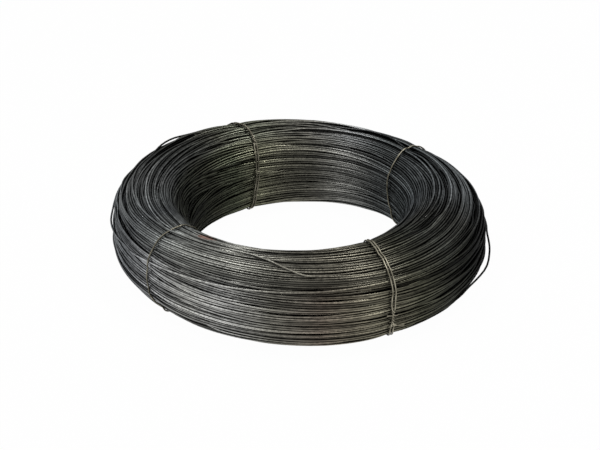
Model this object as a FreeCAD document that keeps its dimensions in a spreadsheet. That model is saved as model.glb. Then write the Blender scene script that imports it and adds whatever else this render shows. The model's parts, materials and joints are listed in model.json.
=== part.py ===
import FreeCAD, Part
import math
import os
import Sketcher

# Coil of spring steel wire, lying flat on its foot and bound by four tie wires.
# Millimetres, +Z up.  The origin is on the floor, on the axis of the eye.  -Y is the front,
# and an azimuth is measured from +X towards +Y.
#
# The winding is one turned solid.  Its section is a rectangle with four round corners, drawn
# by outline() at any depth below the skin:
#     depth 0         the skin of the winding
#     TIE_DEPTH       the centre line of every tie wire
#     CHANNEL_DEPTH   the floor of the channel that a tie presses into the turns
# so every tie lies in its own channel, clear of the eye, of the floor and of the outside.

SIZES = {
    # the winding
    "outer_radius": 280.0,
    "bore_radius": 160.0,
    "coil_height": 122.0,
    "crown_inner_round": 57.0,
    "crown_outer_round": 58.0,
    "foot_outer_round": 34.0,
    "foot_inner_round": 34.0,
    "wire_diameter": 3.0,
    # the tie wires, and the channels that they lie in
    "tie_diameter": 2.2,
    "tie_cover": 0.4,
    "tie_clearance": 0.3,
    "strand_gap": 2.4,
    "front_left_azimuth": 217.5,
    "front_right_azimuth": 299.0,
    "back_left_azimuth": 113.0,
    "back_right_azimuth": 36.5,
    # the twists that close the two doubled ties
    "twist_diameter": 4.4,
    "side_twist_foot": 36.0,
    "side_twist_length": 22.0,
    "top_twist_angle": 44.0,
    # the slack turn that stands off each side of the winding
    "right_slack_azimuth": 344.4,
    "right_slack_standoff": 12.0,
    "right_slack_radius": 145.0,
    "right_slack_level": 46.0,
    "right_slack_half_angle": 50.0,
    "left_slack_azimuth": 182.0,
    "left_slack_standoff": 5.0,
    "left_slack_radius": 180.0,
    "left_slack_level": 64.0,
    "left_slack_half_angle": 34.0,
    # the loose end of the wire, which lies over the crown
    "end_azimuth": 255.0,
    "end_heading": 328.5,
    "end_root_inset": 53.0,
    "end_length": 84.0,
    "end_lift": 1.0,
}

# each tie: where it crosses the winding, and how many strands it has
TIES = {
    "tie_front_left": ("front_left_azimuth", 1),
    "tie_front_right": ("front_right_azimuth", 2),
    "tie_back_left": ("back_left_azimuth", 2),
    "tie_back_right": ("back_right_azimuth", 1),
}

TIE_DEPTH = "Sizes.tie_cover + Sizes.tie_diameter / 2"
CHANNEL_DEPTH = "Sizes.tie_cover + Sizes.tie_diameter + Sizes.tie_clearance"
STRAND_PITCH = "Sizes.tie_diameter + Sizes.strand_gap"
CHANNEL_WIDTH = {
    1: "Sizes.tie_diameter + 2 * Sizes.tie_clearance",
    2: "2 * Sizes.tie_diameter + Sizes.strand_gap + 2 * Sizes.tie_clearance",
}
# a twist lies as deep as the strands do, and stands out of the mouth of the channel
TWIST_DEPTH = "Sizes.tie_cover + Sizes.tie_diameter - Sizes.twist_diameter / 2"
CUT_MARGIN = 20.0

ORIGIN = FreeCAD.Vector(0, 0, 0)
ACROSS = FreeCAD.Vector(1, 0, 0)
ALONG = FreeCAD.Vector(0, 1, 0)
UP = FreeCAD.Vector(0, 0, 1)
# how the XZ origin plane stands in the body's frame
UPRIGHT = FreeCAD.Placement(ORIGIN, FreeCAD.Rotation(ACROSS, 90))

doc = FreeCAD.newDocument("spring_wire_coil")
sheet = doc.addObject("Spreadsheet::Sheet", "Sizes")
for row, (alias, value) in enumerate(SIZES.items(), start=1):
    sheet.set(f"A{row}", alias)
    sheet.set(f"B{row}", str(value))
    sheet.setAlias(f"B{row}", alias)
doc.recompute()


def worked_out(expression):
    """The value of an expression in the sheet's aliases."""
    return float(sheet.evalExpression(expression))


def size(alias):
    """The number that the sheet holds under this alias."""
    return worked_out(f"Sizes.{alias}")


def new_body(label):
    """An empty body whose label names its node."""
    body = doc.addObject("PartDesign::Body", label)
    body.Label = label
    return body


def new_sketch(body, name, role, offset):
    """A sketch attached to one of the body's own origin planes and moved by offset."""
    plane = next(item for item in body.Origin.OriginFeatures if item.Role == role)
    sketch = body.newObject("Sketcher::SketchObject", name)
    sketch.AttachmentSupport = (plane, [""])
    sketch.MapMode = "FlatFace"
    sketch.AttachmentOffset = offset
    return sketch


def upright_sketch(body, name, azimuth, foot=ORIGIN, shift=0.0):
    """A sketch in the upright plane through foot at this azimuth, moved shift along its normal.

    Its x runs outward from foot along the azimuth, and its y is the height.
    """
    turn = FreeCAD.Rotation(UP, azimuth)
    stand = FreeCAD.Placement(foot - turn.multVec(ALONG) * shift, turn)
    return new_sketch(body, name, "XZ_Plane", UPRIGHT.inverse() * stand * UPRIGHT)


def crossing_sketch(body, name, azimuth, place, angle):
    """A sketch square across a wire that runs in the upright plane at this azimuth.

    The wire passes place and is square there to the direction that rises at this angle.
    """
    lean = FreeCAD.Rotation(ALONG, -math.degrees(angle))
    stand = FreeCAD.Placement(place, FreeCAD.Rotation(UP, azimuth) * lean)
    return new_sketch(body, name, "XY_Plane", stand)


def bind(sketch, kind, *rest, to):
    """Adds a dimension to a sketch and binds it to an expression in the sheet."""
    index = sketch.addConstraint(Sketcher.Constraint(kind, *rest, worked_out(to)))
    sketch.setExpression(f"Constraints[{index}]", to)


def block(sketch, first, count):
    """Holds a sketch's lines or arcs where they were drawn."""
    for index in range(first, first + count):
        sketch.addConstraint(Sketcher.Constraint("Block", index))


def outline(sketch, depth):
    """The winding's section, depth below its skin: four straight sides and four round corners.

    x is the distance from the axis and y is the height.  The sides run in the order bore wall,
    crown, outer wall, foot, and the corner after each side follows in the same order.
    """
    left = f"Sizes.bore_radius + ({depth})"
    right = f"Sizes.outer_radius - ({depth})"
    top = f"Sizes.coil_height - ({depth})"
    corners = ("crown_inner_round", "crown_outer_round", "foot_outer_round", "foot_inner_round")
    rounds = [f"Sizes.{corner} - ({depth})" for corner in corners]
    x0, x1 = worked_out(left), worked_out(right)
    y0, y1 = worked_out(depth), worked_out(top)
    r = [worked_out(each) for each in rounds]
    sides = [
        ((x0, y0 + r[3]), (x0, y1 - r[0])),
        ((x0 + r[0], y1), (x1 - r[1], y1)),
        ((x1, y1 - r[1]), (x1, y0 + r[2])),
        ((x1 - r[2], y0), (x0 + r[3], y0)),
    ]
    centres = [
        (x0 + r[0], y1 - r[0]),
        (x1 - r[1], y1 - r[1]),
        (x1 - r[2], y0 + r[2]),
        (x0 + r[3], y0 + r[3]),
    ]
    first = sketch.GeometryCount
    for start, stop in sides:
        line = Part.LineSegment(FreeCAD.Vector(*start, 0), FreeCAD.Vector(*stop, 0))
        sketch.addGeometry(line)
    quarter = math.pi / 2
    for corner, centre in enumerate(centres):
        # each corner runs from the start of the next side back to the end of this one
        circle = Part.Circle(FreeCAD.Vector(*centre, 0), UP, r[corner])
        start = quarter * (1 - corner)
        sketch.addGeometry(Part.ArcOfCircle(circle, start, start + quarter))
    for side in range(4):
        arc = first + 4 + side
        following = first + (side + 1) % 4
        sketch.addConstraint(Sketcher.Constraint("Tangent", first + side, 2, arc, 2))
        sketch.addConstraint(Sketcher.Constraint("Tangent", arc, 1, following, 1))
        direction = "Vertical" if side % 2 == 0 else "Horizontal"
        sketch.addConstraint(Sketcher.Constraint(direction, first + side))
        bind(sketch, "Radius", arc, to=rounds[side])
    bind(sketch, "DistanceX", -1, 1, first, 1, to=left)
    bind(sketch, "DistanceX", -1, 1, first + 2, 1, to=right)
    bind(sketch, "DistanceY", -1, 1, first + 1, 1, to=top)
    if y0 == 0:
        sketch.addConstraint(Sketcher.Constraint("PointOnObject", first + 3, 1, -1))
    else:
        bind(sketch, "DistanceY", -1, 1, first + 3, 1, to=depth)


def frame_around(sketch):
    """A rectangle well outside the section, for a cut of all that lies outside an outline."""
    x0 = size("bore_radius") - CUT_MARGIN
    x1 = size("outer_radius") + CUT_MARGIN
    y1 = size("coil_height") + CUT_MARGIN
    corners = [(x0, -CUT_MARGIN), (x1, -CUT_MARGIN), (x1, y1), (x0, y1)]
    for here, there in zip(corners, corners[1:] + corners[:1]):
        line = Part.LineSegment(FreeCAD.Vector(*here, 0), FreeCAD.Vector(*there, 0))
        sketch.addGeometry(line)
    block(sketch, 0, len(corners))


def round_wire(body, name, path, profile, centre, diameter):
    """A wire carried along path from a circle of bound diameter, centred in profile's sketch."""
    place = FreeCAD.Vector(*centre, 0)
    circle = profile.addGeometry(Part.Circle(place, UP, worked_out(diameter) / 2))
    bind(profile, "Diameter", circle, to=diameter)
    profile.addConstraint(Sketcher.Constraint("DistanceX", -1, 1, circle, 3, place.x))
    profile.addConstraint(Sketcher.Constraint("DistanceY", -1, 1, circle, 3, place.y))
    wire = body.newObject("PartDesign::AdditivePipe", name)
    wire.Profile = profile
    wire.Spine = (path, [])
    doc.recompute()
    return wire


def turned_winding(body):
    """The winding, turned about the axis of the eye."""
    section = new_sketch(body, "coil_section", "XZ_Plane", FreeCAD.Placement())
    outline(section, "0")
    winding = body.newObject("PartDesign::Revolution", "winding")
    winding.Profile = section
    winding.ReferenceAxis = (section, ["V_Axis"])
    winding.Angle = 360.0
    doc.recompute()


def tie_channel(body, name, azimuth, strands):
    """The narrow channel that a tie presses all round the section of the winding."""
    ring = upright_sketch(body, f"{name}_channel_ring", azimuth)
    frame_around(ring)
    outline(ring, CHANNEL_DEPTH)
    before = body.Tip.Shape.Volume
    cut = body.newObject("PartDesign::Pocket", f"{name}_channel")
    cut.Profile = ring
    cut.SideType = "Symmetric"
    cut.setExpression("Length", CHANNEL_WIDTH[strands])
    doc.recompute()
    if cut.Shape.Volume >= before:
        raise RuntimeError(f"{name}_channel cuts nothing")


def slack_turn(body, side):
    """A slack turn: an arc tighter than the winding, so that its middle stands off the wall."""
    azimuth = size(f"{side}_slack_azimuth")
    radius = size(f"{side}_slack_radius")
    half = size(f"{side}_slack_half_angle")
    reach = size("outer_radius") + size(f"{side}_slack_standoff") - radius
    turn = FreeCAD.Rotation(UP, azimuth)
    centre = turn.multVec(ACROSS * reach) + UP * size(f"{side}_slack_level")
    path = new_sketch(body, f"{side}_slack_path", "XY_Plane", FreeCAD.Placement(centre, turn))
    circle = Part.Circle(ORIGIN, UP, radius)
    path.addGeometry(Part.ArcOfCircle(circle, -math.radians(half), math.radians(half)))
    block(path, 0, 1)
    profile = upright_sketch(body, f"{side}_slack_profile", azimuth - half, centre)
    name = f"{side}_slack_turn"
    round_wire(body, name, path, profile, (radius, 0.0), "Sizes.wire_diameter")


def crown_level(radius):
    """The height of the winding's skin at this radius, on its crown or the outer side of it."""
    rounding = size("crown_outer_round")
    past = max(0.0, radius - (size("outer_radius") - rounding))
    return size("coil_height") - rounding + math.sqrt(rounding**2 - past**2)


def loose_end(body):
    """The wire's loose end: one arc in an upright plane, rooted in the crown and lying over it.

    The arc runs from a root sunk in the crown, through a middle and to a cut end that both lie
    end_lift above the skin.  In its plane, x is the run from the root and y is the height.
    """
    heading = size("end_heading")
    wire = size("wire_diameter")
    out = FreeCAD.Rotation(UP, size("end_azimuth")).multVec(ACROSS)
    foot = out * (size("outer_radius") - size("end_root_inset"))
    along = FreeCAD.Rotation(UP, heading).multVec(ACROSS)
    points = []
    for run, above in ((0.0, -wire), (0.5, wire / 2), (1.0, wire / 2)):
        reach = size("end_length") * run
        lift = size("end_lift") if run else 0.0
        level = crown_level((foot + along * reach).Length) + above + lift
        points.append(FreeCAD.Vector(reach, level, 0))
    arc = Part.Arc(*points).toShape().Curve
    centre, tip = arc.Center, points[-1]
    first, last = (math.atan2(each.y - centre.y, each.x - centre.x) for each in (tip, points[0]))
    path = upright_sketch(body, "loose_end_path", heading, foot)
    path.addGeometry(Part.ArcOfCircle(Part.Circle(centre, UP, arc.Radius), first, last))
    block(path, 0, 1)
    cut_end = foot + along * tip.x + UP * tip.y
    profile = crossing_sketch(body, "loose_end_profile", heading, cut_end, first)
    round_wire(body, "loose_end", path, profile, (0.0, 0.0), "Sizes.wire_diameter")


def wire_coil():
    """The wound wire: the winding with its tie channels, two slack turns and its loose end."""
    body = new_body("wire_coil")
    turned_winding(body)
    for name, (azimuth, strands) in TIES.items():
        tie_channel(body, name, size(azimuth), strands)
    slack_turn(body, "right")
    slack_turn(body, "left")
    loose_end(body)
    return body


def side_twist(body, label, azimuth):
    """The twist low on the outer wall: a short thick upright stretch between the strands."""
    line = size("outer_radius") - worked_out(TWIST_DEPTH)
    low = FreeCAD.Vector(line, size("side_twist_foot"), 0)
    path = upright_sketch(body, f"{label}_twist_path", azimuth)
    path.addGeometry(Part.LineSegment(low, low + ALONG * size("side_twist_length")))
    block(path, 0, 1)
    foot = FreeCAD.Rotation(UP, azimuth).multVec(ACROSS * low.x) + UP * low.y
    profile = crossing_sketch(body, f"{label}_twist_profile", azimuth, foot, 0.0)
    round_wire(body, f"{label}_twist", path, profile, (0.0, 0.0), "Sizes.twist_diameter")


def top_twist(body, label, azimuth):
    """The twist over the outer side of the crown: a thick arc between the strands."""
    rounding = size("crown_outer_round")
    middle_x = size("outer_radius") - rounding
    middle_y = size("coil_height") - rounding
    radius = rounding - worked_out(TWIST_DEPTH)
    first = math.pi / 2 - math.radians(size("top_twist_angle"))
    circle = Part.Circle(FreeCAD.Vector(middle_x, middle_y, 0), UP, radius)
    path = upright_sketch(body, f"{label}_twist_path", azimuth)
    path.addGeometry(Part.ArcOfCircle(circle, first, math.pi / 2))
    block(path, 0, 1)
    reach = middle_x + radius * math.cos(first)
    rise = middle_y + radius * math.sin(first)
    start = FreeCAD.Rotation(UP, azimuth).multVec(ACROSS * reach) + UP * rise
    profile = crossing_sketch(body, f"{label}_twist_profile", azimuth, start, first)
    round_wire(body, f"{label}_twist", path, profile, (0.0, 0.0), "Sizes.twist_diameter")


def tie_wire(label, azimuth, strands, twist=None):
    """One tie: a ring of wire round the section, or two rings that a twist joins."""
    body = new_body(label)
    pitch = worked_out(STRAND_PITCH)
    shifts = [pitch * (number - (strands - 1) / 2) for number in range(strands)]
    start = UP * (worked_out(TIE_DEPTH) + worked_out(f"Sizes.foot_inner_round - ({TIE_DEPTH})"))
    line = size("bore_radius") + worked_out(TIE_DEPTH)
    for number, shift in enumerate(shifts, start=1):
        ring = upright_sketch(body, f"{label}_ring_{number}", azimuth, shift=shift)
        outline(ring, TIE_DEPTH)
        profile = crossing_sketch(body, f"{label}_profile_{number}", azimuth, start, 0.0)
        name = f"{label}_strand_{number}"
        round_wire(body, name, ring, profile, (line, -shift), "Sizes.tie_diameter")
        if twist and number == 1:
            twist(body, label, azimuth)
    return body


def check(bodies):
    """Stops the build if any object failed or any body isn't one valid solid."""
    doc.recompute()
    for item in doc.Objects:
        if "Invalid" in item.State or "Error" in item.State:
            raise RuntimeError(f"{item.Name} failed: {item.State}")
    for body in bodies:
        shape = body.Shape
        if shape.isNull() or not shape.isValid() or len(shape.Solids) != 1:
            raise RuntimeError(f"{body.Label} is not one valid solid")


def main():
    """Builds every piece, checks them all and writes one STEP file for each."""
    twists = {"tie_front_right": side_twist, "tie_back_left": top_twist}
    bodies = [wire_coil()]
    for label, (azimuth, strands) in TIES.items():
        bodies.append(tie_wire(label, size(azimuth), strands, twists.get(label)))
    check(bodies)
    os.makedirs("parts", exist_ok=True)
    for body in bodies:
        body.Shape.exportStep(f"parts/{body.Label}.step")
        print(body.Label, round(body.Shape.Volume), body.Shape.BoundBox)


main()
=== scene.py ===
import json
import math

import bpy
import numpy as np
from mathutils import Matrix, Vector


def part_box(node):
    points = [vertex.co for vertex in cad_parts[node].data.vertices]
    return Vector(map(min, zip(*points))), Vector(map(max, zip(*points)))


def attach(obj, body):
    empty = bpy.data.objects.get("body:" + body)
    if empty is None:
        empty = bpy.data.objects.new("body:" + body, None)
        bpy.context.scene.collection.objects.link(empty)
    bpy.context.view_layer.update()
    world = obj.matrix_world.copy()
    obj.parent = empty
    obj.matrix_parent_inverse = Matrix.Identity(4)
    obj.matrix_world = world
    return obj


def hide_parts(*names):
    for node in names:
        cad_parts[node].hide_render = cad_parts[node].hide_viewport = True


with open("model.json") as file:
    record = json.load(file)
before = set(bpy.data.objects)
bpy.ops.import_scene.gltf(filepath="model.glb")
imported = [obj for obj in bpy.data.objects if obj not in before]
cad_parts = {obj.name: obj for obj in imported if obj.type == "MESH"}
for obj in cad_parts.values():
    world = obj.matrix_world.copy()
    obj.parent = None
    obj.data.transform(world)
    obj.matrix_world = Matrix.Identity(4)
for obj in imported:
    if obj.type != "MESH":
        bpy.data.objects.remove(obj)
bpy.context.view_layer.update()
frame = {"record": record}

# Coil of spring steel wire: some 340 turns of one continuous wire wound over a plain core, its
# loose end, and four tie wires bent round the section.
# Metres; +Z up; the axis of the eye is Z.
#
# A place in the winding is (around, depth, bearing): the distance round the section, starting
# at the outer end of its foot and rising up the outer wall, the depth below the nominal skin,
# and the angle about the axis of the eye from +X.

MM = 0.001
TURN = 2 * math.pi


def mount(name):
    """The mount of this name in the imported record."""
    return next(each for each in frame["record"]["mounts"] if each["name"] == name)


coil_low, coil_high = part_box("wire_coil")
EYE = mount("eye")["dims"]["r_mm"] * MM
OUTER = (coil_high[1] - coil_low[1]) / 2
HEIGHT = 122 * MM
# radii of the section's corners: foot outer, crown outer, crown inner, foot inner
CORNERS = (34 * MM, 58 * MM, 57 * MM, 34 * MM)
WIRE = 3.0 * MM
TIE = 2.2 * MM
STATIONS = 168      # points in each turn
WIRE_SIDES = 7      # sides of a turn's round section
PITCH = 3.3 * MM    # from one turn to the next in a bundle
DATUM = 1.5 * WIRE  # the depth at which distances round the section are measured

BEARINGS = np.arange(STATIONS) * TURN / STATIONS


# ---------------------------------------------------------------- the section

def corner_knots():
    """Knots of the section's outline at the datum depth.

    Each corner gives two knots, a quarter turn apart, at one centre with one radius.  Between
    the second knot of a corner and the first of the next, the centre and the radius change
    evenly and the angle stays, which draws the straight side.
    """
    foot_out, crown_out, crown_in, foot_in = CORNERS
    centres = np.array([
        (OUTER - foot_out, foot_out),
        (OUTER - crown_out, HEIGHT - crown_out),
        (EYE + crown_in, HEIGHT - crown_in),
        (EYE + foot_in, foot_in),
    ])
    centres = np.repeat(centres, 2, axis=0)
    radii = np.repeat(np.array(CORNERS) - DATUM, 2)
    quarter = math.pi / 2
    angles = np.array([-1, 0, 0, 1, 1, 2, 2, 3]) * quarter
    centres = np.vstack([centres, centres[:1]])
    radii = np.append(radii, radii[0])
    angles = np.append(angles, 3 * quarter)
    points = centres + radii[:, None] * np.stack([np.cos(angles), np.sin(angles)], 1)
    steps = np.linalg.norm(np.diff(points, axis=0), axis=1)
    steps[0::2] = radii[0:8:2] * quarter
    return np.append(0, np.cumsum(steps)), centres, radii, angles


KNOTS, KNOT_CENTRES, KNOT_RADII, KNOT_ANGLES = corner_knots()
GIRTH = KNOTS[-1]


def on_section(around, depth):
    """Distance from the axis, height and outward angle of places on the section."""
    s = np.mod(around, GIRTH)
    angle = np.interp(s, KNOTS, KNOT_ANGLES)
    reach = np.interp(s, KNOTS, KNOT_RADII) + DATUM - depth
    r = np.interp(s, KNOTS, KNOT_CENTRES[:, 0]) + reach * np.cos(angle)
    z = np.interp(s, KNOTS, KNOT_CENTRES[:, 1]) + reach * np.sin(angle)
    return r, z, angle


def waves(bearing, terms):
    """The sum of cos and sin waves: terms gives (cycles, cosine share, sine share)."""
    return sum(c * np.cos(k * bearing) + s * np.sin(k * bearing) for k, c, s in terms)


def place(around, depth, bearing):
    """Points in space, after the coil's own unevenness has moved the turned shape.

    The winding is thicker at the front right and the back left, thinner between, and a little
    higher at the front and back than at its sides.  The lowest turns lie flat on the floor.
    """
    r, z, _ = on_section(around, depth)
    outer = OUTER * (1 + waves(bearing, OUTER_WAVES))
    eye = EYE + OUTER * waves(bearing, EYE_WAVES)
    share = (r - EYE) / (OUTER - EYE)
    r = eye + share * (outer - eye)
    z = np.maximum(z * (1 + waves(bearing, HEIGHT_WAVES)), WIRE / 2)
    return np.stack([r * np.cos(bearing), r * np.sin(bearing), z], axis=-1)


# (cycles, cosine share, sine share) of the unevenness round the coil
OUTER_WAVES = ((1, .005, -.004), (2, 0, -.039), (3, .008, .015), (4, 0, .007))
EYE_WAVES = ((1, .008, -.009), (2, -.010, .039), (3, 0, .006))
HEIGHT_WAVES = ((1, -.023, 0), (2, -.029, .002))


READINGS = 400  # places read along a side of the section to look one up


def around_at_height(z):
    """The place round the section that is this high on its outer side."""
    s = np.linspace(0, KNOTS[3], READINGS)
    return np.interp(z, on_section(s, 0.0)[1], s)


def around_at_radius(r):
    """The place round the section that is this far from the axis, on its upper side."""
    s = np.linspace(KNOTS[2], KNOTS[5], READINGS)
    return np.interp(-r, -on_section(s, 0.0)[0], s)


# ---------------------------------------------------------------- the winding

def course(rng):
    """The wire's place round the section at every station, and where its bundles change.

    One whole layer is wound at an even pitch.  Over it go two layers of separate bundles of
    parallel turns with narrow gaps between, then two slack turns and the last one, whose
    places are set one by one.
    """
    t = GIRTH / PITCH
    s = GIRTH
    turns, places, changes = [0.0, t], [0.0, s], []
    while s < (1 + BUNDLE_LAYERS) * GIRTH - 2 * WIRE:
        shift = rng.uniform(*BUNDLE_SHIFT)
        s += PITCH * shift + WIRE * rng.choice(BUNDLE_GAPS, p=BUNDLE_GAP_ODDS)
        t += shift
        changes.append(t - shift / 2)
        turns.append(t)
        places.append(s)
        count = rng.integers(*BUNDLE_TURNS)
        t += count
        s += count * PITCH
        turns.append(t)
        places.append(s)
    first = math.ceil(t + BEFORE_SLACK)
    base = (1 + BUNDLE_LAYERS) * GIRTH
    for turn, height in SLACK_COURSE:
        turns.append(first + turn)
        places.append(base + around_at_height(height))
    for turn, radius in LAST_COURSE:
        turns.append(first + turn)
        places.append(base + around_at_radius(radius))
    return np.array(turns), np.array(places), np.array(changes), first


BUNDLE_LAYERS = 2
BUNDLE_TURNS = (3, 11)  # fewest turns in a bundle, and one more than the most
BUNDLE_SHIFT = (.3, .7)  # turns that the wire takes to cross to its next bundle
BUNDLE_GAPS = (.25, .6, 1.2)  # gaps between bundles, in thicknesses of the wire
BUNDLE_GAP_ODDS = (.45, .4, .15)
BEFORE_SLACK = .6  # least turns between the last bundle and the first slack turn
# (turns, height on the outer side) of the slack turns, and (turns, radius on the upper side)
# of the last one, all counted from the first slack turn
SLACK_COURSE = (
    (0.30, 40 * MM), (0.70, 20 * MM), (0.90, 18 * MM), (0.919, 24 * MM), (0.957, 47 * MM),
    (1.014, 60 * MM), (1.10, 66 * MM), (1.40, 84 * MM), (1.464, 82 * MM), (1.50, 70 * MM),
    (1.533, 65 * MM), (1.564, 72 * MM), (1.64, 84 * MM), (1.80, 96 * MM),
)
LAST_COURSE = (
    (2.1, 267 * MM), (2.34, 263 * MM), (2.40, 259 * MM), (2.5, 248 * MM), (2.66, 226 * MM),
)
# (turn, its length before and after that in turns, how far it stands off) of slack stretches
SLACK_STRETCHES = (
    (0.950, 0.036, 0.062, 10 * MM),
    (1.511, 0.034, 0.034, 4.5 * MM),
    (2.375, 0.035, 0.035, 2.0 * MM),
)


# (cycles, spread in millimetres) of the waves in which a bundle and a single turn wander
BUNDLE_WAVES = ((1, 2.6), (2, 1.5), (3, .8))
TURN_WAVES = ((0, .2), (1, .3), (2, .26), (3, .22), (5, .18), (8, .12), (14, .05))
TAKE_OVER = .2  # turns before and after a change of bundle in which the next takes over


def bundle_sway(t, bearing, changes, rng):
    """How far each bundle of turns wanders round the section: its own few slow waves.

    A bundle keeps its waves until it changes, and the next takes over within half a turn, so
    neighbouring bundles cross at a shallow angle.
    """
    edges = np.sort(np.concatenate([changes - TAKE_OVER, changes + TAKE_OVER]))
    sway = np.zeros_like(t)
    for cycles, amplitude in BUNDLE_WAVES:
        for wave in (np.cos, np.sin):
            size = rng.normal(0, amplitude * MM, len(changes) + 1)
            strength = np.interp(t, edges, np.repeat(size, 2)[1:-1])
            sway += strength * wave(cycles * bearing)
    return sway


def turn_sway(t, bearing, rng):
    """How far each turn wanders by itself, changing evenly from one turn to the next."""
    whole = np.arange(math.ceil(t[-1]) + 2)
    sway = np.zeros_like(t)
    for cycles, amplitude in TURN_WAVES:
        for wave in (np.cos, np.sin):
            size = rng.normal(0, amplitude * MM, len(whole))
            sway += np.interp(t, whole, size) * wave(cycles * bearing)
    return sway


def smooth(values, times):
    """Runs a short bell-shaped average along the wire, so that it bends and doesn't kink."""
    for _ in range(times):
        padded = np.concatenate([values[:1], values, values[-1:]])
        values = (padded[:-2] + 2 * padded[1:-1] + padded[2:]) / 4
    return values


def pile_up(around):
    """Height of each turn above the core: every turn lies on those wound before it.

    Two round wires a distance d apart along the section touch when the upper one is
    sqrt(WIRE squared - d squared) above the lower, and a wire rests on the highest of these.
    """
    turns = len(around)
    height = np.zeros_like(around)
    for turn in range(1, turns):
        apart = np.mod(around[:turn] - around[turn] + GIRTH / 2, GIRTH) - GIRTH / 2
        rise = np.sqrt(np.maximum(WIRE**2 - apart**2, 0))
        rest = np.where(np.abs(apart) < WIRE, height[:turn] + rise, 0).max(axis=0)
        wide = np.maximum(rest, (np.roll(rest, 1) + np.roll(rest, -1)) / 2)
        height[turn] = (np.roll(wide, 1) + 2 * wide + np.roll(wide, -1)) / 4
    return height


def level(around, height):
    """Depth of each turn, once the pile has been pressed level on the scale of a bundle.

    The top of the pile is read on a grid round the section and round the coil, blurred in
    both directions, and each turn's depth is what it lies below that blurred top.
    """
    cells = LEVEL_CELLS
    column = (np.mod(around, GIRTH) / GIRTH * cells).astype(int) % cells
    station = np.broadcast_to(np.arange(STATIONS), around.shape)
    top = np.zeros((cells, STATIONS))
    np.maximum.at(top, (column, station), height)
    top = np.maximum(top, np.maximum(np.roll(top, 1, 0), np.roll(top, -1, 0)))
    cycles_round = np.fft.fftfreq(cells, 1 / cells)[:, None]
    cycles_along = np.fft.fftfreq(STATIONS, 1 / STATIONS)[None, :]
    blur = np.exp(-((cycles_round / KEPT_ROUND) ** 2 + (cycles_along / KEPT_ALONG) ** 2))
    top = np.real(np.fft.ifft2(np.fft.fft2(top) * blur))
    share = np.mod(around, GIRTH) / GIRTH * cells - .5
    low = np.floor(share).astype(int)
    part = share - low
    here = top[low % cells, station] * (1 - part) + top[(low + 1) % cells, station] * part
    return WIRE / 2 + PRESSED_IN + here - height


PRESSED_IN = 1.0 * MM  # how far the skin of the winding lies inside its nominal size
LEVEL_CELLS = 140      # cells of the grid round the section
KEPT_ROUND = 22        # cycles round the section that the blur still lets through
KEPT_ALONG = 12        # cycles round the coil that it still lets through


def pinch(around, bearing):
    """How far the ties draw the turns in: under each tie's course a narrow dip in a wider one.

    Each dip is bell-shaped: its depth x exp of minus the square of (angle off the tie / width).
    """
    depth = np.zeros_like(bearing)
    s = np.linspace(0, GIRTH, TIE_STEPS, endpoint=False)
    for tie in TIE_COURSES.values():
        course_bearing = np.interp(np.mod(around, GIRTH), s, tie_bearing(tie, s), period=GIRTH)
        off = np.mod(bearing - course_bearing + math.pi, TURN) - math.pi
        depth += sum(dip * np.exp(-((off / width) ** 2)) for dip, width in PINCHES)
    return depth


PINCHES = ((1.2 * MM, .05), (0.9 * MM, .18))  # (depth, width in radians) of the two dips


WINDING_SEED = 11
# near this bearing (radians) the bundles fan out: their sway is up to 1 + FAN_MORE times as wide
FAN_BEARING, FAN_WIDTH, FAN_MORE = 3.3, .8, 1.3
ROUGHNESS = .03 * MM  # spread of the small waviness that the wire keeps


def wind():
    """Winds the wire: its turn, place round the section, depth and bearing at every station.

    The turns set one by one keep a quarter of the single turn's sway and none of the bundle's.
    """
    rng = np.random.default_rng(WINDING_SEED)
    knot_turns, knot_places, changes, first = course(rng)
    whole = math.ceil(knot_turns[-1])
    t = np.arange(whole * STATIONS) / STATIONS
    bearing = np.tile(BEARINGS, whole)
    around = np.interp(t, knot_turns, knot_places)
    free = np.clip((first + TAKE_OVER - t) / TAKE_OVER, 0, 1)
    off = np.mod(bearing - FAN_BEARING + math.pi, TURN) - math.pi
    fan = 1 + FAN_MORE * np.exp(-(off / FAN_WIDTH) ** 2)
    around += free * fan * bundle_sway(t, bearing, changes, rng)
    around += (.25 + .75 * free) * turn_sway(t, bearing, rng)
    around = smooth(around, 3)
    grid = around.reshape(whole, STATIONS)
    depth = level(grid, pile_up(grid)).ravel()
    for turn, before, after, off in SLACK_STRETCHES:
        past = t - first - turn
        share = np.clip(np.where(past < 0, past / before, past / after), -1, 1)
        depth -= off * np.cos(share * math.pi / 2) ** 2
    depth = smooth(depth, 1) + pinch(around, bearing)
    depth += rng.normal(0, ROUGHNESS, len(t))
    around += rng.normal(0, ROUGHNESS, len(t))
    last = int(knot_turns[-1] * STATIONS) + 1
    return t[:last], around[:last], depth[:last], bearing[:last]


# ---------------------------------------------------------------- meshes

def new_piece(name, verts, quads, node, material, caps=()):
    """Makes a piece from points, smooth four-sided faces and flat caps, hung from the root and
    hiding the CAD part of its node.
    """
    mesh = bpy.data.meshes.new(name)
    corners = np.concatenate([np.asarray(quads, np.int32).ravel()]
                             + [np.asarray(cap, np.int32) for cap in caps])
    sizes = np.concatenate([np.full(len(quads), 4)] + [[len(cap)] for cap in caps])
    sizes = sizes.astype(np.int32)
    starts = np.append(0, np.cumsum(sizes)[:-1]).astype(np.int32)
    mesh.vertices.add(len(verts))
    mesh.vertices.foreach_set("co", np.asarray(verts, np.float32).ravel())
    mesh.loops.add(len(corners))
    mesh.loops.foreach_set("vertex_index", corners)
    mesh.polygons.add(len(sizes))
    mesh.polygons.foreach_set("loop_start", starts)
    mesh.polygons.foreach_set("use_smooth", np.arange(len(sizes)) < len(quads))
    mesh.update(calc_edges=True)
    mesh.validate()
    mesh.materials.append(material)
    piece = bpy.data.objects.new(name, mesh)
    bpy.context.scene.collection.objects.link(piece)
    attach(piece, "root")
    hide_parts(node)
    return piece


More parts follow.
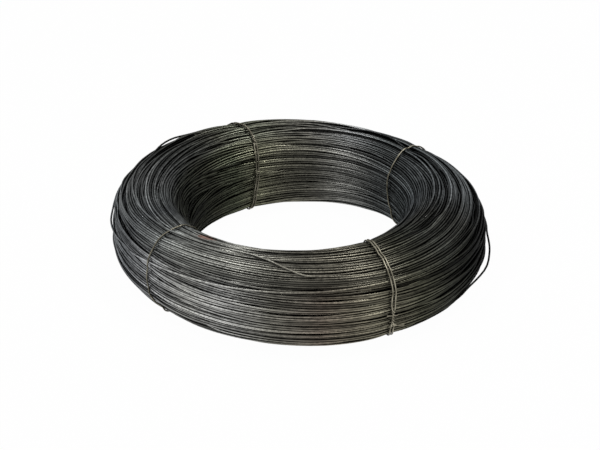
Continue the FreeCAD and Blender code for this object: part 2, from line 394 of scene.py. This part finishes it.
def tube(points, outward, radius, sides):
    """A round wire along points: rings square to the path, joined by quads, with flat ends.

    Each ring's first direction is outward, made square to the path; the second is square to
    both.  The path's direction at a point is that from the point before to the point after.
    """
    along = np.gradient(points, axis=0)
    along /= np.linalg.norm(along, axis=1, keepdims=True)
    out = outward - along * np.sum(outward * along, axis=1, keepdims=True)
    out /= np.linalg.norm(out, axis=1, keepdims=True)
    across = np.cross(along, out)
    angle = np.arange(sides) * TURN / sides
    ring = (np.cos(angle)[None, :, None] * out[:, None]
            + np.sin(angle)[None, :, None] * across[:, None])
    verts = (points[:, None] + radius * ring).reshape(-1, 3)
    count = len(points)
    start = (np.arange(count - 1) * sides)[:, None]
    here = np.arange(sides)[None, :]
    there = (here + 1) % sides
    beyond = start + sides
    quads = np.stack([start + here, start + there, beyond + there, beyond + here], -1)
    first = list(range(sides))[::-1]
    last = [(count - 1) * sides + k for k in range(sides)]
    return verts, quads.reshape(-1, 4), [first, last]


def outward_of(around, bearing):
    """Unit vectors square to the skin at these places."""
    _, _, angle = on_section(around, 0.0)
    flat = np.cos(angle)
    return np.stack([flat * np.cos(bearing), flat * np.sin(bearing), np.sin(angle)], -1)


def set_attribute(piece, name, values):
    """Stores one number for each point of the piece."""
    layer = piece.data.attributes.new(name, "FLOAT", "POINT")
    layer.data.foreach_set("value", np.asarray(values, np.float32))


def finish_and_light_attributes(piece, tone, run, sides):
    """Stores what the finish follows: "tone" of the turn, "run" along it, and the side of the wire.

    The side is 1 where the wire faces out of the coil and 0 where it faces in: half of
    one plus the cosine of the angle round the wire.  The materials paint a highlight on the
    outward side from it, and shade on the inward side.
    """
    angle = np.arange(sides) * TURN / sides
    set_attribute(piece, "tone", np.repeat(tone, sides))
    set_attribute(piece, "run", np.repeat(run, sides))
    set_attribute(piece, "painted_light_side", np.tile((1 + np.cos(angle)) / 2, len(tone)))


def coil_turns(winding, material):
    """The wire itself, in stretches of whole turns that each make one piece."""
    t, around, depth, bearing = winding
    points = place(around, depth, bearing)
    outward = outward_of(around, bearing)
    rng = np.random.default_rng(TONE_SEED)
    whole = np.arange(math.ceil(t[-1]) + 1)
    tone = rng.normal(0, 1, len(whole))
    tone[rng.random(len(whole)) < BRIGHT_SHARE] += BRIGHTER
    tone[-len(LAST_TONES):] = LAST_TONES
    tone = np.interp(t, whole, tone)
    run = t * TURN * (OUTER + EYE) / 2
    size = math.ceil(len(t) / TURN_PIECES)
    for number in range(TURN_PIECES):
        first = number * size
        last = min(first + size + 1, len(t))
        span = slice(first, last)
        verts, quads, caps = tube(points[span], outward[span], WIRE / 2, WIRE_SIDES)
        piece = new_piece(f"coil_turns_{number + 1}", verts, quads,
                          "wire_coil", material, caps)
        finish_and_light_attributes(piece, tone[span], run[span], WIRE_SIDES)


TURN_PIECES = 5
TONE_SEED = 5
BRIGHT_SHARE = .09  # of the turns, those rubbed much brighter than the rest
BRIGHTER = 2.2      # and by how much
LAST_TONES = (-.3, -.3, 1.3, 1.6)  # of the slack turns and of the last one


def hidden_core(material):
    """The plain closed core that the turns hide: the section at one depth, carried round."""
    steps, stations = 120, 144
    s = np.linspace(0, GIRTH, steps, endpoint=False)
    b = np.linspace(0, TURN, stations, endpoint=False)
    grid_s, grid_b = np.meshgrid(s, b, indexing="ij")
    verts = place(grid_s, CORE_DEPTH, grid_b).reshape(-1, 3)
    i = np.arange(steps)[:, None]
    j = np.arange(stations)[None, :]
    i_next, j_next = (i + 1) % steps, (j + 1) % stations
    quads = np.stack([i * stations + j, i * stations + j_next,
                      i_next * stations + j_next, i_next * stations + j], -1).reshape(-1, 4)
    piece = new_piece("hidden_core", verts, quads[:, ::-1], "wire_coil",
                      material)
    set_attribute(piece, "lay", grid_s.ravel())


CORE_DEPTH = 10 * MM


# ---------------------------------------------------------------- ties and the loose end

def around_on_bore(z):
    """The place round the section that is this high on its inner side."""
    s = np.linspace(KNOTS[5], GIRTH, READINGS)
    return np.interp(-z, -on_section(s, 0.0)[1], s)


# each tie's course in millimetres and degrees: (height, bearing) up the outer wall, (distance
# from the axis, bearing) over the crown and (height, bearing) down the bore wall
TIE_COURSES = {
    "tie_front_left": {
        "sides": (0,), "tone": .75,
        "wall": ((15, 223.0), (22, 219.5), (28, 217.4), (49, 216.3), (83, 217.1)),
        "crown": ((244, 217.7), (231, 218.2), (208, 218.2)),
        "bore": ((60, 218.6), (20, 219.0)),
    },
    "tie_front_right": {
        "sides": (-1, 1), "tone": 1.0,
        "wall": ((20, 297.4), (35, 297.3), (50, 297.4), (75, 297.8), (95, 298.3)),
        "crown": ((260, 298.4), (230, 299.2), (205, 300.7), (190, 302.2), (180, 304.2),
                  (168, 306.4)),
        "bore": ((55, 307.5), (20, 306.0)),
    },
    "tie_back_left": {
        "sides": (-1, 1), "tone": .55,
        "wall": ((30, 114.0), (80, 114.4)),
        "crown": ((246, 113.8), (233, 113.0), (212, 111.8), (199, 111.2), (182, 111.2),
                  (175, 111.8), (166, 112.6), (160.4, 113.3)),
        "bore": ((50, 114.3), (29, 115.6)),
    },
    "tie_back_right": {
        "sides": (0,), "tone": .8,
        "wall": ((30, 38.0), (80, 38.6)),
        "crown": ((212, 38.6), (196, 38.2), (186, 37.4), (163, 36.9)),
        "bore": ((57, 35.8), (39, 34.2), (25, 30.4)),
    },
}


def tie_bearing(tie, s):
    """The tie's bearing at places round the section: read from its course, then smoothed."""
    finders = {"wall": around_at_height, "crown": around_at_radius, "bore": around_on_bore}
    places, bearings = [], []
    for side, find in finders.items():
        places += [find(size * MM) for size, _ in tie[side]]
        bearings += [bearing for _, bearing in tie[side]]
    bearing = np.radians(np.interp(s, places, bearings, period=GIRTH))
    for _ in range(TIE_SMOOTHING):
        bearing = (np.roll(bearing, 1) + 2 * bearing + np.roll(bearing, -1)) / 4
    return bearing


def lying_over(around, bearing, winding, thickness):
    """The depth at which a wire of this thickness lies on the turns along a path."""
    _, turn_around, turn_depth, _ = winding
    count = len(turn_around) // STATIONS
    grid_a = turn_around[: count * STATIONS].reshape(count, STATIONS)
    grid_d = turn_depth[: count * STATIONS].reshape(count, STATIONS)
    reach = (WIRE + thickness) / 2
    depth = np.full(len(around), CORE_DEPTH)
    station = np.mod(bearing, TURN) / TURN * STATIONS
    for offset in (0, 1):
        column = (np.floor(station).astype(int) + offset) % STATIONS
        apart = np.mod(grid_a[:, column] - around + GIRTH / 2, GIRTH) - GIRTH / 2
        rise = np.sqrt(np.maximum(reach**2 - apart**2, 0))
        over = np.where(np.abs(apart) < reach, grid_d[:, column] - rise, CORE_DEPTH)
        depth = np.minimum(depth, over.min(axis=0))
    return depth


def pulled_tight(depth, reach, rounds):
    """A closed tight wire spans from high spot to high spot: a running least, then smoothed."""
    low = np.min([np.roll(depth, shift) for shift in range(-reach, reach + 1)], axis=0)
    for _ in range(rounds):
        low = (np.roll(low, 1) + 2 * low + np.roll(low, -1)) / 4
    return low


def laid_path(knots, steps, winding, thickness, lifts):
    """An open path over the winding through knots (around, bearing), rounded at its bends.

    It is read from the knots at even steps and smoothed; it lies on the turns below it, and
    lifts adds a height above them at each knot.
    """
    share = np.linspace(0, 1, len(knots))
    even = np.linspace(0, 1, steps)
    around = smooth(np.interp(even, share, [knot[0] for knot in knots]), steps // 3)
    bearing = smooth(np.interp(even, share, [knot[1] for knot in knots]), steps // 3)
    under = lying_over(around, bearing, winding, thickness)
    low = np.min([np.roll(under, shift) for shift in range(-3, 4)], axis=0)
    low[:3], low[-3:] = low[3], low[-4]
    depth = smooth(low, 6) - smooth(np.interp(even, share, lifts), 4)
    return around, depth, bearing


def tie_piece(name, node, strands, tone, material):
    """One piece from several strands, each a (points, outward) pair, all of one tone."""
    verts, quads, caps, base = [], [], [], 0
    for points, outward in strands:
        v, q, c = tube(points, outward, TIE / 2, TIE_SIDES)
        verts.append(v)
        quads.append(q + base)
        caps += [[k + base for k in cap] for cap in c]
        base += len(v)
    piece = new_piece(name, np.vstack(verts), np.vstack(quads), node, material, caps)
    rings = base // TIE_SIDES
    finish_and_light_attributes(piece, np.full(rings, tone), np.arange(rings) * MM, TIE_SIDES)


TIE_SIDES = 10
TIE_STEPS = 300
TIE_SMOOTHING = 40       # rounds of averaging that bend a tie's course
STRAND_PITCH = 4.3 * MM  # between the centre lines of a doubled tie
ROPE_PITCH = 9 * MM      # one whole turn of two strands twisted together
ROPE_RUN_IN = 12 * MM    # the length over which the strands close up to twist
OPENED = .25             # the share by which they stand further apart at OPENED_HEIGHT
OPENED_HEIGHT = 60 * MM
TIE_END_STEPS = 24       # points along a tie's cut end


def tie_strand(tie, side, winding):
    """One strand of a tie: a ring round the section, drawn tight over the turns.

    Where the tie is twisted, the two strands turn about their common line as a helix: sideways
    by side x radius x cos(turn) and outwards by side x radius x sin(turn).
    """
    s = np.linspace(0, GIRTH, TIE_STEPS, endpoint=False)
    bearing = tie_bearing(tie, s)
    first, last = tie.get("twist", (0.0, 0.0))
    inside = (np.clip((s - first) / ROPE_RUN_IN + .5, 0, 1)
              * np.clip((last - s) / ROPE_RUN_IN + .5, 0, 1))
    half_turns = round((last - first) / ROPE_PITCH * 2)
    turned = np.clip((s - first) / max(last - first, MM), 0, 1) * half_turns * math.pi
    off = np.abs(s / around_at_height(OPENED_HEIGHT) - 1)
    opened = 1 + OPENED * np.clip(1 - off, 0, 1)
    radius = STRAND_PITCH / 2 * opened * (1 - inside) + TIE / 2 * inside
    radius_here, _, _ = on_section(s, 0.0)
    b = bearing + side * radius * np.cos(turned) / radius_here
    depth = pulled_tight(lying_over(s, b, winding, TIE), reach=4, rounds=6)
    depth -= inside * TIE / 2 + side * radius * np.sin(turned)
    points = place(s, depth, b)
    outward = outward_of(s, b)
    return np.vstack([points, points[:1]]), np.vstack([outward, outward[:1]])


def tie_wires(winding, material):
    """The four ties, two of them doubled and twisted, with the cut ends of the front one."""
    for name, tie in TIE_COURSES.items():
        strands = [tie_strand(tie, side, winding) for side in tie["sides"]]
        for knots, lifts in tie.get("ends", ()):
            knots = [(around_at_height(z), math.radians(b)) for b, z in knots]
            around, depth, bearing = laid_path(knots, TIE_END_STEPS, winding, TIE, lifts)
            strands.append((place(around, depth, bearing), outward_of(around, bearing)))
        tie_piece(name + "_wire", name, strands, tie["tone"], material)


# where the doubled ties are twisted, from one place round the section to the other
TIE_COURSES["tie_front_right"]["twist"] = (around_at_height(34 * MM), around_at_height(56 * MM))
TIE_COURSES["tie_back_left"]["twist"] = (around_at_radius(234 * MM), around_at_radius(183 * MM))
# cut ends of the front right tie: (bearing, height) of its knots, and its lift at each
TIE_COURSES["tie_front_right"]["ends"] = (
    (((299.4, 46 * MM), (298.2, 47 * MM), (296.6, 49 * MM), (295.0, 50 * MM)),
     (1.6 * MM, 3.6 * MM, 3.0 * MM, 2.6 * MM)),
    (((296.8, 35 * MM), (298.2, 33 * MM), (299.6, 31 * MM), (300.9, 29 * MM)),
     (1.6 * MM, 3.6 * MM, 2.8 * MM, 2.4 * MM)),
)


def loose_end(winding, material):
    """The wire's last stretch: it leaves its turn, crosses the crown outwards and lies along it."""
    _, turn_around, _, turn_bearing = winding
    start = 8  # stations back along the wound wire, where the loose stretch begins
    knots = [(turn_around[-start], turn_bearing[-start]), (turn_around[-1], turn_bearing[-1])]
    base = math.floor(turn_around[-1] / GIRTH) * GIRTH
    for bearing, radius in LOOSE_END_COURSE:
        knots.append((base + around_at_radius(radius), math.radians(bearing)))
    lifts = [0.0, 0.2 * MM] + [0.3 * MM] * (len(LOOSE_END_COURSE) - 1) + [1.0 * MM]
    around, depth, bearing = laid_path(knots, END_STEPS, winding, WIRE, lifts)
    verts, quads, caps = tube(place(around, depth, bearing), outward_of(around, bearing),
                              WIRE / 2, END_SIDES)
    piece = new_piece("loose_end", verts, quads, "wire_coil", material, caps)
    tone = np.linspace(*END_TONES, len(around))
    finish_and_light_attributes(piece, tone, bearing * OUTER, END_SIDES)


# (bearing, distance from the axis) of the loose end's knots after it leaves its turn
LOOSE_END_COURSE = (
    (254.9, 228 * MM), (261.2, 239 * MM), (266.4, 248 * MM), (270.8, 255 * MM),
    (273.4, 258 * MM), (276.0, 258 * MM),
)
END_STEPS = 90
END_SIDES = 12
END_TONES = (.5, 2.4)  # the tone at its root and at its cut end


# ---------------------------------------------------------------- materials

def new_material(name):
    """A material with a Principled BSDF, and short names for its nodes and links."""
    material = bpy.data.materials.new(name)
    material.use_nodes = True
    nodes = material.node_tree.nodes
    return material, nodes, material.node_tree.links, nodes["Principled BSDF"]


def linear(red, green, blue):
    """A colour written as it looks, 0 to 255, as the linear values that a shader takes."""
    return tuple((part / 255 / 12.92) if part <= 10 else ((part / 255 + .055) / 1.055) ** 2.4
                 for part in (red, green, blue)) + (1.0,)


def add(nodes, kind, **settings):
    """Adds a node and sets its plain properties."""
    node = nodes.new(kind)
    for name, value in settings.items():
        setattr(node, name, value)
    return node


def math_node(nodes, links, operation, *values):
    """A Math node fed by sockets or plain numbers; gives its output."""
    node = add(nodes, "ShaderNodeMath", operation=operation)
    for socket, value in zip(node.inputs, values):
        if isinstance(value, bpy.types.NodeSocket):
            links.new(value, socket)
        else:
            socket.default_value = value
    return node.outputs[0]


def set_inputs(node, values):
    """Sets a node's inputs, found by name, to plain values."""
    for name, value in values.items():
        node.inputs[name].default_value = value


def ranged(nodes, links, value, low, high, to_low=0.0, to_high=1.0):
    """A Map Range node: value from low..high to to_low..to_high, smooth and clamped."""
    node = add(nodes, "ShaderNodeMapRange", interpolation_type="SMOOTHSTEP")
    links.new(value, node.inputs["Value"])
    set_inputs(node, {"From Min": low, "From Max": high, "To Min": to_low, "To Max": to_high})
    return node.outputs["Result"]


def blend_colours(nodes, links, mode, factor, first, second):
    """A Mix node for colours; factor, first and second are sockets or plain values."""
    node = add(nodes, "ShaderNodeMix", data_type="RGBA", blend_type=mode)
    sockets = (node.inputs[0], node.inputs[6], node.inputs[7])
    for socket, value in zip(sockets, (factor, first, second)):
        if isinstance(value, bpy.types.NodeSocket):
            links.new(value, socket)
        else:
            socket.default_value = value
    return node.outputs[2]


def shaded(nodes, links, colour, light):
    """The colour multiplied by the number light, and the grey of that number."""
    grey = nodes.new("ShaderNodeCombineXYZ")
    for socket in grey.inputs:
        links.new(light, socket)
    return blend_colours(nodes, links, "MULTIPLY", 1.0, colour, grey.outputs[0]), grey.outputs[0]


def read_attribute(nodes, name):
    """The number stored under this name on the points of a piece."""
    return add(nodes, "ShaderNodeAttribute", attribute_name=name).outputs["Fac"]


def object_place(nodes):
    """Each point's place in the part's own frame."""
    return nodes.new("ShaderNodeTexCoord").outputs["Object"]


def noise(nodes, links, where, scale, detail=2.0):
    """A soft random strength, from 0 to 1, read at a place."""
    node = nodes.new("ShaderNodeTexNoise")
    links.new(where, node.inputs["Vector"])
    set_inputs(node, {"Scale": scale, "Detail": detail})
    return node.outputs[0]


def add_bump(nodes, links, shader, height, strength, distance):
    """Tilts the shader's normal by the slope of height."""
    bump = nodes.new("ShaderNodeBump")
    set_inputs(bump, {"Strength": strength, "Distance": distance})
    links.new(height, bump.inputs["Height"])
    links.new(bump.outputs[0], shader.inputs["Normal"])


# The dark drawn finish round the coil, as it looks at each bearing.  The stops hold the steel's
# own changes of tone, bluish, brownish and olive, together with painted light and shade that fell
# on the real coil: the nearly black stops from about 300 round to 30 are mostly painted shade, and
# the lighter stops at the front left are partly painted light.
FINISH_AND_PAINTED_LIGHT = {
    "outer wall": (
        (0, (25, 26, 26)), (45, (62, 64, 64)), (90, (76, 76, 72)), (135, (66, 68, 68)),
        (180, (96, 99, 101)), (202, (82, 84, 86)), (216, (109, 110, 111)), (234, (107, 107, 104)),
        (248, (128, 128, 126)), (262, (83, 82, 76)), (277, (71, 65, 58)), (292, (89, 86, 74)),
        (307, (52, 52, 43)), (322, (38, 39, 35)), (338, (17, 18, 16)), (360, (25, 26, 26)),
    ),
    "crown": (
        (0, (57, 59, 60)), (22, (63, 66, 67)), (42, (44, 46, 46)), (52, (45, 47, 47)),
        (66, (79, 80, 80)), (85, (67, 66, 62)), (98, (62, 62, 56)), (112, (76, 78, 68)),
        (127, (41, 41, 36)), (142, (50, 51, 49)), (155, (42, 43, 42)), (175, (72, 73, 73)),
        (187, (68, 70, 70)), (202, (60, 62, 63)), (218, (78, 80, 79)), (232, (92, 93, 90)),
        (247, (87, 87, 83)), (264, (61, 60, 55)), (278, (57, 55, 49)),
        (292, (65, 63, 55)), (307, (40, 40, 34)), (322, (37, 38, 35)), (340, (36, 36, 34)),
        (360, (57, 59, 60)),
    ),
    "bore wall": (
        (0, (66, 69, 71)), (22, (66, 70, 71)), (45, (57, 59, 59)), (67, (88, 88, 85)),
        (82, (70, 69, 63)), (97, (70, 69, 60)), (112, (82, 82, 68)), (127, (53, 56, 45)),
        (144, (42, 43, 36)), (160, (34, 35, 30)), (190, (34, 35, 31)), (225, (56, 56, 52)),
        (270, (66, 63, 56)), (320, (58, 58, 56)), (360, (66, 69, 71)),
    ),
}


def finish_and_light_ramp(nodes, links, bearing, stops):
    """A colour ramp round the coil: each stop is (bearing in degrees, colour as it looks)."""
    ramp = nodes.new("ShaderNodeValToRGB")
    links.new(bearing, ramp.inputs[0])
    elements = ramp.color_ramp.elements
    for place_in_turn, colour in stops[1:-1]:
        elements.new(place_in_turn / 360).color = linear(*colour)
    elements[0].color = linear(*stops[0][1])
    elements[-1].color = linear(*stops[-1][1])
    return ramp.outputs[0]


def finish_and_light_group():
    """Node group of the finish: the colour of the drawn steel at each place on the coil, together
    with painted light and shade.

    Three ramps round the coil, for its outer wall, crown and bore wall, are mixed by height
    and by distance from the axis, then clouded by a soft noise.
    """
    group = bpy.data.node_groups.new("drawn_finish_and_painted_light", "ShaderNodeTree")
    group.interface.new_socket("Cloudiness", in_out="INPUT", socket_type="NodeSocketFloat")
    group.interface.new_socket("Colour", in_out="OUTPUT", socket_type="NodeSocketColor")
    nodes, links = group.nodes, group.links
    given, made = nodes.new("NodeGroupInput"), nodes.new("NodeGroupOutput")
    where = object_place(nodes)
    parts = nodes.new("ShaderNodeSeparateXYZ")
    links.new(where, parts.inputs[0])
    x, y, z = parts.outputs
    angle = math_node(nodes, links, "ARCTAN2", y, x)
    turns = math_node(nodes, links, "MULTIPLY_ADD", angle, 1 / TURN, 1.0)
    bearing = math_node(nodes, links, "FRACT", turns)
    squares = math_node(nodes, links, "ADD", math_node(nodes, links, "MULTIPLY", x, x),
                        math_node(nodes, links, "MULTIPLY", y, y))
    reach = math_node(nodes, links, "SQRT", squares)
    # ramps of steel tone with painted light and shade round the coil
    wall, crown, bore = (finish_and_light_ramp(nodes, links, bearing, stops) for stops in FINISH_AND_PAINTED_LIGHT.values())
    low = ranged(nodes, links, z, *WALL_BELOW)
    far = ranged(nodes, links, reach, *WALL_BEYOND)
    on_wall = math_node(nodes, links, "MULTIPLY", low, far)
    on_bore = ranged(nodes, links, reach, *BORE_WITHIN)
    colour = blend_colours(nodes, links, "MIX", on_wall, crown, wall)
    colour = blend_colours(nodes, links, "MIX", on_bore, colour, bore)
    cloud = noise(nodes, links, where, 14, 4)
    light = math_node(nodes, links, "SUBTRACT", ranged(nodes, links, cloud, *MIDDLE), .5)
    light = math_node(nodes, links, "MULTIPLY_ADD", light, given.outputs[0], 1.0)
    clouded, _ = shaded(nodes, links, colour, light)
    links.new(clouded, made.inputs[0])
    return group


# where the finish of the crown gives way to that of the walls, in metres
WALL_BELOW = (.106, .080)   # heights
WALL_BEYOND = (.225, .262)  # distances from the axis
BORE_WITHIN = (.196, .172)
MIDDLE = (.3, .7)  # the middle of a noise, where nearly all of its strengths lie


def patch_mask(nodes, links, centre, bearing, half_size):
    """1 in a rounded patch with ragged edges, turned to this bearing, and 0 outside it."""
    where = object_place(nodes)
    local = add(nodes, "ShaderNodeMapping", vector_type="TEXTURE")
    links.new(where, local.inputs["Vector"])
    set_inputs(local, {"Location": centre, "Rotation": (0, 0, bearing), "Scale": half_size})
    length = add(nodes, "ShaderNodeVectorMath", operation="LENGTH")
    links.new(local.outputs[0], length.inputs[0])
    ragged = noise(nodes, links, where, 260)
    edge = math_node(nodes, links, "MULTIPLY_ADD", ragged, .9, length.outputs["Value"])
    return ranged(nodes, links, edge, 1.45, 1.15)


def wire_material(finish_and_light):
    """Dark drawn steel, oiled and semi-gloss, with a painted highlight on the outward side of each
    turn and painted shade on its inward side, down between the turns.
    """
    material, nodes, links, shader = new_material("spring_steel_wire")
    zone = add(nodes, "ShaderNodeGroup", node_tree=finish_and_light)
    zone.inputs["Cloudiness"].default_value = .45
    tone, run, painted_light_side = (read_attribute(nodes, name) for name in ("tone", "run", "painted_light_side"))
    along = nodes.new("ShaderNodeCombineXYZ")
    links.new(run, along.inputs[0])
    links.new(math_node(nodes, links, "MULTIPLY", tone, 9.0), along.inputs[1])
    streak = noise(nodes, links, along.outputs[0], 22, 3)
    by_turn = math_node(nodes, links, "MULTIPLY_ADD", tone, .46, .96)
    by_turn = math_node(nodes, links, "MAXIMUM", by_turn, .22)
    by_streak = ranged(nodes, links, streak, *MIDDLE, .70, 1.35)
    # painted highlight on each turn's outward side, painted shade on its inward side between turns
    painted_side_light = ranged(nodes, links, painted_light_side, .45, 1.0, .10, 2.35)
    light = math_node(nodes, links, "MULTIPLY", by_turn, by_streak)
    light = math_node(nodes, links, "MULTIPLY", light, painted_side_light)
    colour, grey = shaded(nodes, links, zone.outputs[0], light)
    rust = patch_mask(nodes, links, RUST_PLACE, math.radians(RUST_BEARING), RUST_SIZE)
    rust = math_node(nodes, links, "MULTIPLY", rust, RUST_STRENGTH)
    rust_tone = blend_colours(nodes, links, "MULTIPLY", .5, RUST_COLOUR, grey)
    colour = blend_colours(nodes, links, "MIX", rust, colour, rust_tone)
    links.new(colour, shader.inputs["Base Color"])
    links.new(ranged(nodes, links, streak, *MIDDLE, .27, .40), shader.inputs["Roughness"])
    set_inputs(shader, {"Metallic": .9, "Specular Tint": (.3, .3, .3, 1),
                        "Coat Weight": .08, "Coat Roughness": .16})
    ripple = noise(nodes, links, along.outputs[0], 34, 1)
    add_bump(nodes, links, shader, ripple, .16, .25 * MM)
    return material


# a small patch of light rust on a few turns of the crown's inner edge
RUST_BEARING = 232.4
RUST_PLACE = (209 * MM * math.cos(math.radians(RUST_BEARING)),
              209 * MM * math.sin(math.radians(RUST_BEARING)), 118 * MM)
RUST_SIZE = (10 * MM, 20 * MM, 12 * MM)
RUST_COLOUR = linear(112, 84, 75)
RUST_STRENGTH = .8


def tie_material():
    """Soft annealed tie wire: a grey brown skin, lighter where it is rubbed, with a painted
    highlight on the outward side of each strand and painted shade on its inward side.
    """
    material, nodes, links, shader = new_material("tie_wire")
    patch = noise(nodes, links, object_place(nodes), 90, 3)
    worn = ranged(nodes, links, patch, .35, .65)
    skin = blend_colours(nodes, links, "MIX", worn, linear(112, 108, 94), linear(158, 153, 136))
    tone, painted_light_side = (read_attribute(nodes, name) for name in ("tone", "painted_light_side"))
    # painted highlight on each strand's outward side, painted shade on its inward side
    painted_side_light = ranged(nodes, links, painted_light_side, .45, 1.0, .12, 1.25)
    colour, _ = shaded(nodes, links, skin, math_node(nodes, links, "MULTIPLY", tone, painted_side_light))
    links.new(colour, shader.inputs["Base Color"])
    links.new(ranged(nodes, links, patch, *MIDDLE, .5, .35), shader.inputs["Roughness"])
    set_inputs(shader, {"Metallic": .85, "Specular Tint": (.4, .4, .4, 1)})
    return material


def core_material(finish_and_light):
    """The inside of the winding: the same finish in deep shade, ridged like the turns over it."""
    material, nodes, links, shader = new_material("hidden_core")
    zone = add(nodes, "ShaderNodeGroup", node_tree=finish_and_light)
    zone.inputs["Cloudiness"].default_value = .3
    deep = blend_colours(nodes, links, "MULTIPLY", 1.0, zone.outputs[0], (.10, .10, .10, 1))
    links.new(deep, shader.inputs["Base Color"])
    set_inputs(shader, {"Metallic": .5, "Specular Tint": (.2, .2, .2, 1), "Roughness": .6})
    turns = math_node(nodes, links, "MULTIPLY", read_attribute(nodes, "lay"), TURN / PITCH)
    add_bump(nodes, links, shader, math_node(nodes, links, "SINE", turns), 1.0, WIRE / 3)
    return material


def floor():
    """A wide pale floor: white to the camera and in reflections, and it takes a soft shadow."""
    mesh = bpy.data.meshes.new("floor")
    half = 6.0
    mesh.from_pydata([(-half, -half, 0), (half, -half, 0), (half, half, 0), (-half, half, 0)],
                     [], [(0, 1, 2, 3)])
    plane = bpy.data.objects.new("floor", mesh)
    bpy.context.scene.collection.objects.link(plane)
    material, nodes, links, shader = new_material("floor")
    set_inputs(shader, {"Base Color": (.8, .8, .8, 1), "Roughness": .9})
    glow = nodes.new("ShaderNodeEmission")
    path = nodes.new("ShaderNodeLightPath")
    seen = math_node(nodes, links, "MULTIPLY", path.outputs["Is Camera Ray"], WHITE_SHARE)
    share = math_node(nodes, links, "MAXIMUM", seen, path.outputs["Is Glossy Ray"])
    mix = nodes.new("ShaderNodeMixShader")
    links.new(share, mix.inputs["Fac"])
    links.new(shader.outputs[0], mix.inputs[1])
    links.new(glow.outputs[0], mix.inputs[2])
    links.new(mix.outputs[0], nodes["Material Output"].inputs["Surface"])
    mesh.materials.append(material)


WHITE_SHARE = .98  # how much of the floor is plain white to the camera


def white_room():
    """A room that lights the coil dimly and looks white to the camera and in reflections."""
    world = bpy.data.worlds.new("white_room")
    bpy.context.scene.world = world
    world.use_nodes = True
    nodes, links = world.node_tree.nodes, world.node_tree.links
    sky = nodes["Background"]
    set_inputs(sky, {"Color": (1, 1, 1, 1), "Strength": ROOM_LIGHT})
    card = nodes.new("ShaderNodeBackground")
    path = nodes.new("ShaderNodeLightPath")
    seen = math_node(nodes, links, "MAXIMUM", path.outputs["Is Camera Ray"],
                     path.outputs["Is Glossy Ray"])
    mix = nodes.new("ShaderNodeMixShader")
    links.new(seen, mix.inputs["Fac"])
    links.new(sky.outputs[0], mix.inputs[1])
    links.new(card.outputs[0], mix.inputs[2])
    links.new(mix.outputs[0], nodes["World Output"].inputs["Surface"])


ROOM_LIGHT = .45


def aim(thing, position, target):
    """Puts a lamp or camera at position, looking at target with the top of its view upward."""
    thing.location = Vector(position)
    ray = Vector(target) - thing.location
    thing.rotation_euler = ray.to_track_quat("-Z", "Y").to_euler()


def softbox(name, direction, width, power):
    """A square studio light that looks at the coil from this direction."""
    data = bpy.data.lights.new(name, "AREA")
    data.shape = "RECTANGLE"
    data.size = width
    data.size_y = width
    data.energy = power
    lamp = bpy.data.objects.new(name, data)
    bpy.context.scene.collection.objects.link(lamp)
    towards = np.array(direction, float)
    towards /= np.linalg.norm(towards)
    aim(lamp, towards * LAMP_DISTANCE, (0, 0, HEIGHT / 2))


LAMP_DISTANCE = 2.6


def camera():
    """The camera stands well back, above the front of the coil, with a long lens."""
    data = bpy.data.cameras.new("camera")
    data.lens = 120.9
    data.sensor_width = 36
    data.clip_end = 60
    thing = bpy.data.objects.new("camera", data)
    bpy.context.scene.collection.objects.link(thing)
    bpy.context.scene.camera = thing
    back, rise = 3.0437, math.radians(28.4)
    aim(thing, (0, -back * math.cos(rise), back * math.sin(rise)), (.0051, .0233, .0431))


def main():
    """Builds the coil, its ties, the light and the camera."""
    camera()
    winding = wind()
    finish_and_light = finish_and_light_group()
    wire = wire_material(finish_and_light)
    coil_turns(winding, wire)
    loose_end(winding, wire)
    hidden_core(core_material(finish_and_light))
    tie_wires(winding, tie_material())
    floor()
    white_room()
    softbox("left_softbox", (-.318, .006, .948), width=0.55, power=16)
    softbox("right_softbox", (.37, .1, .92), width=0.25, power=20)
    bpy.context.scene.view_settings.view_transform = "Standard"


main()
